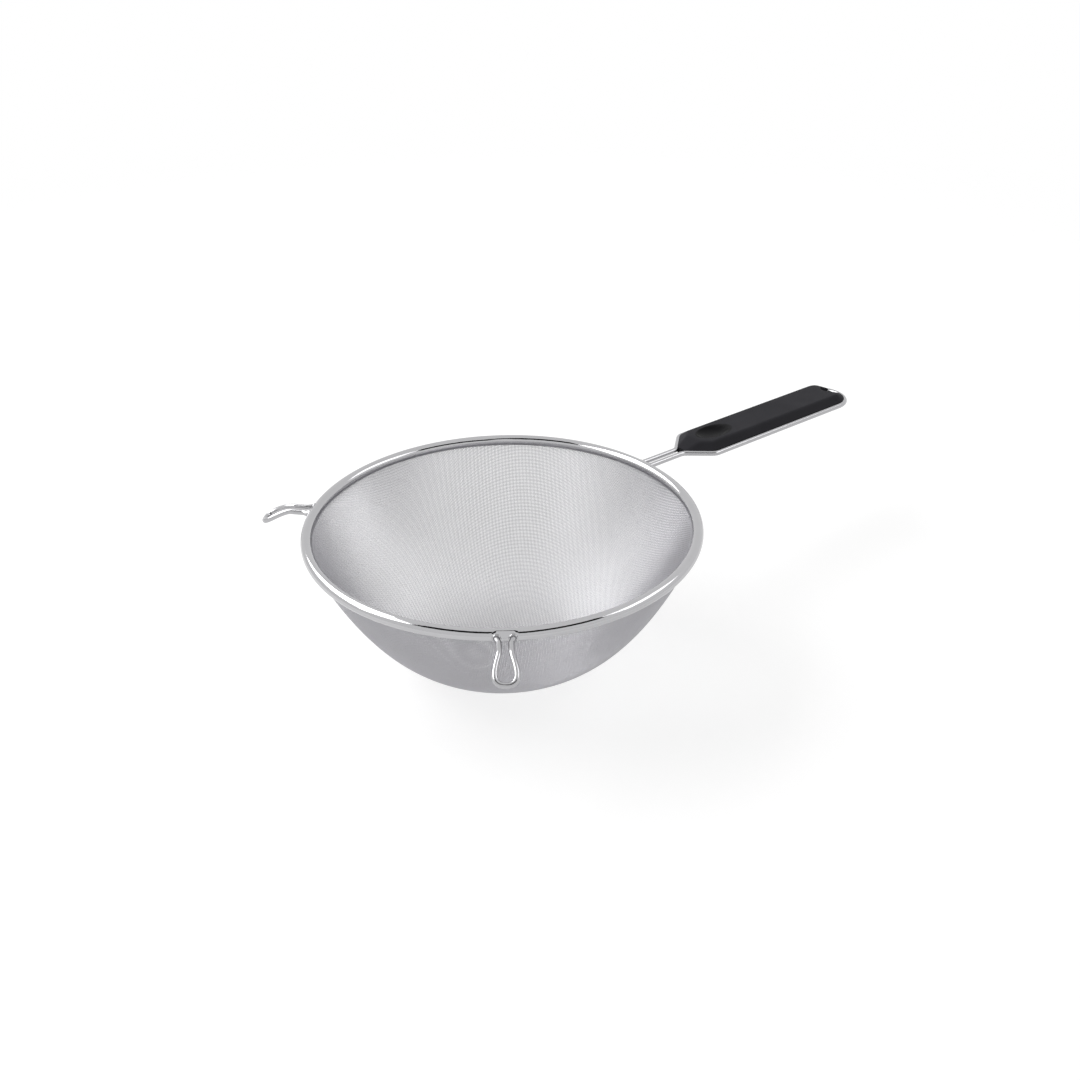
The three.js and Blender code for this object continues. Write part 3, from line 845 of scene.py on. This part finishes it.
class STRAINER_OT_stage(bpy.types.Operator):
    """Set the floor, soft light, world and camera"""

    bl_idname = "strainer.stage"
    bl_label = "Stage"

    def around(self, turn, rise, distance):
        """A place round the rim: turn from the camera's side in degrees, to the photo's left when
        negative, and rise above the level. With it come its level and its upward direction."""
        a = math.atan2(EYE[1] - RIM_CENTRE[1], EYE[0] - RIM_CENTRE[0]) + math.radians(turn)
        e = math.radians(rise)
        out = np.array([math.cos(e) * math.cos(a), math.cos(e) * math.sin(a), math.sin(e)])
        level = np.array([-math.sin(a), math.cos(a), 0.0])
        return RIM_CENTRE + distance * out, level, np.cross(out, level)

    def softbox(self, name, turn, rise, distance, width, height, power):
        """A soft lamp that faces the rim."""
        lamp = bpy.data.lights.new(name, "AREA")
        lamp.energy = power
        lamp.shape = "RECTANGLE"
        lamp.size = width
        lamp.size_y = height
        holder = bpy.data.objects.new(name, lamp)
        place, _, _ = self.around(turn, rise, distance)
        holder.location = place
        aim = RIM_CENTRE - place
        flat = math.hypot(aim[0], aim[1])
        holder.rotation_euler = (math.atan2(flat, -aim[2]), 0.0, math.atan2(-aim[0], aim[1]))
        bpy.context.scene.collection.objects.link(holder)

    def floor(self):
        """A pale level sheet that fades out into the white world."""
        half = 1.1
        x, y = np.meshgrid([-half, half], [-half, half], indexing="ij")
        quads, places = grid(2, 2)
        points = np.stack([x, y, np.zeros((2, 2))], -1).reshape(-1, 3)
        mesh = new_mesh("floor", points, [quads[:, ::-1]], [places[:, ::-1]])
        finish = Finish("floor_pale")
        place = finish.coordinates()
        away = finish.node("ShaderNodeVectorMath", {"operation": "LENGTH"}, {0: place}, "Value")
        fade = {"Value": away, "From Min": 0.45, "From Max": 1.0, "To Min": 1.0, "To Max": 0.0}
        alpha = finish.node("ShaderNodeMapRange", {"interpolation_type": "SMOOTHSTEP"}, fade)
        mesh.materials.append(finish.set(
            Base_Color=(0.42, 0.42, 0.42, 1.0), Roughness=0.9, Specular_IOR_Level=0.0, Alpha=alpha,
            Emission_Color=0.69 * finish.seen(), Emission_Strength=1.0,
        ))
        sheet = bpy.data.objects.new("floor", mesh)
        bpy.context.scene.collection.objects.link(sheet)

    def flag(self, name, turn, rise, distance, width, height, tint):
        """A panel that faces the rim and draws a dark line along the polished steel."""
        place, level, upward = self.around(turn, rise, distance)
        u, v = np.meshgrid([-0.5, 0.5], [-0.5, 0.5], indexing="ij")
        points = place + width * u[..., None] * level + height * v[..., None] * upward
        quads, places = grid(2, 2)
        mesh = new_mesh(name, points.reshape(-1, 3), [quads], [places])
        mesh.materials.append(Finish(name).set(
            Base_Color=(tint, tint, tint, 1.0), Roughness=1.0, Specular_IOR_Level=0.0
        ))
        panel = bpy.data.objects.new(name, mesh)
        bpy.context.scene.collection.objects.link(panel)

    def world(self):
        """White where it is seen or mirrored, and a plain soft light elsewhere."""
        sky = Sky("studio")
        bpy.context.scene.world = sky.set(Color=(1.0, 1.0, 1.0, 1.0), Strength=0.4 + 0.6 * sky.seen())

    def camera(self):
        """The camera of the photograph."""
        eye = bpy.data.cameras.new("photo_camera")
        eye.sensor_width = EYE_SENSOR
        eye.lens = EYE_LENS
        holder = bpy.data.objects.new("photo_camera", eye)
        holder.location = EYE
        holder.rotation_euler = tuple(math.radians(part) for part in EYE_TURN)
        bpy.context.scene.collection.objects.link(holder)
        bpy.context.scene.camera = holder

    def execute(self, context):
        context.scene.view_settings.view_transform = "Standard"
        self.floor()
        self.world()
        far = 1.3
        black = 0.01
        self.flag("black_flag_left", -36.0, 62.0, far, width=0.8, height=0.65, tint=black)
        self.flag("black_flag_right", 32.0, 49.0, far, width=0.95, height=0.6, tint=black)
        self.softbox("key_softbox", -110.0, 44.0, far, width=1.4, height=0.8, power=17.0)
        self.softbox("side_softbox", 92.0, 42.0, far, width=0.9, height=0.45, power=2.5)
        self.camera()
        return {"FINISHED"}


class STRAINER_PT_panel(bpy.types.Panel):
    """Sizes and build steps of the strainer"""

    bl_label = "Strainer"
    bl_idname = "STRAINER_PT_panel"
    bl_space_type = "VIEW_3D"
    bl_region_type = "UI"
    bl_category = "Strainer"

    def draw(self, context):
        for group in SETTINGS:
            box = self.layout.box()
            settings = getattr(context.scene, group)
            for key in settings.__annotations__:
                box.prop(settings, key)
        for step in STEPS:
            self.layout.operator(step.bl_idname)


SETTINGS = {
    "strainer_cloth": StrainerClothSettings,
    "strainer_rim": StrainerRimSettings,
    "strainer_handle": StrainerHandleSettings,
    "strainer_rest": StrainerRestSettings,
}
STEPS = (
    STRAINER_OT_cloth, STRAINER_OT_rim, STRAINER_OT_frame,
    STRAINER_OT_rests, STRAINER_OT_grip, STRAINER_OT_stage,
)


def register():
    for name, group in SETTINGS.items():
        bpy.utils.register_class(group)
        setattr(bpy.types.Scene, name, bpy.props.PointerProperty(type=group))
    for step in (*STEPS, STRAINER_PT_panel):
        bpy.utils.register_class(step)


def unregister():
    for step in (STRAINER_PT_panel, *reversed(STEPS)):
        bpy.utils.unregister_class(step)
    for name, group in reversed(SETTINGS.items()):
        delattr(bpy.types.Scene, name)
        bpy.utils.unregister_class(group)


def main():
    register()
    bpy.ops.strainer.cloth()
    bpy.ops.strainer.rim()
    bpy.ops.strainer.frame()
    bpy.ops.strainer.rests()
    bpy.ops.strainer.grip()
    bpy.ops.strainer.stage()
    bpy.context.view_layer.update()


if __name__ == "__main__":
    main()
